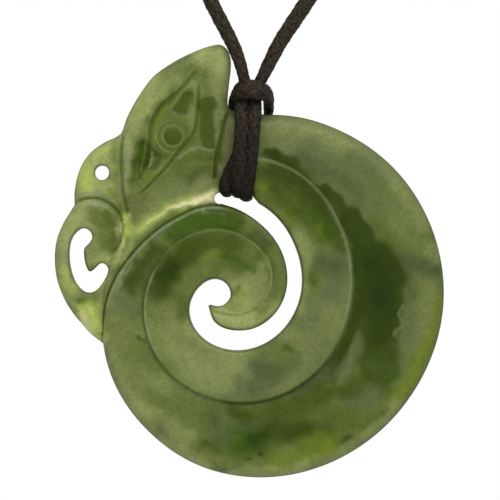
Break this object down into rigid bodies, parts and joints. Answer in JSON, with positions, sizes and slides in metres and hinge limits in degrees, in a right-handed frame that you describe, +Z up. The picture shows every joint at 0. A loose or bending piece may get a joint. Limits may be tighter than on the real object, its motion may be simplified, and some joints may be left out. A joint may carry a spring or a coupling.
{
  "type": "manaia koru pendant on a neck cord",
  "caption": "Carved greenstone pendant with a through-cut koru spiral and a manaia head, hitched to a plaited neck cord loop.",
  "frame": {"origin": "centre of the cord's closing knot, where the loop rests on the nape of the neck", "axes": "+Z up, the carved front of the stone faces -Y, X runs from the manaia's side to the disc's side"},
  "size_m": [0.1216, 0.1616, 0.2589],
  "materials": {
    "greenstone": "polished translucent nephrite with darker green clouds",
    "waxed_cord": "waxed plaited cotton, dark brown"
  },
  "bodies": {
    "root": {"pendant_stone": "greenstone", "neck_cord": "waxed_cord", "back_knot": "waxed_cord"}
  },
  "joints": []
}
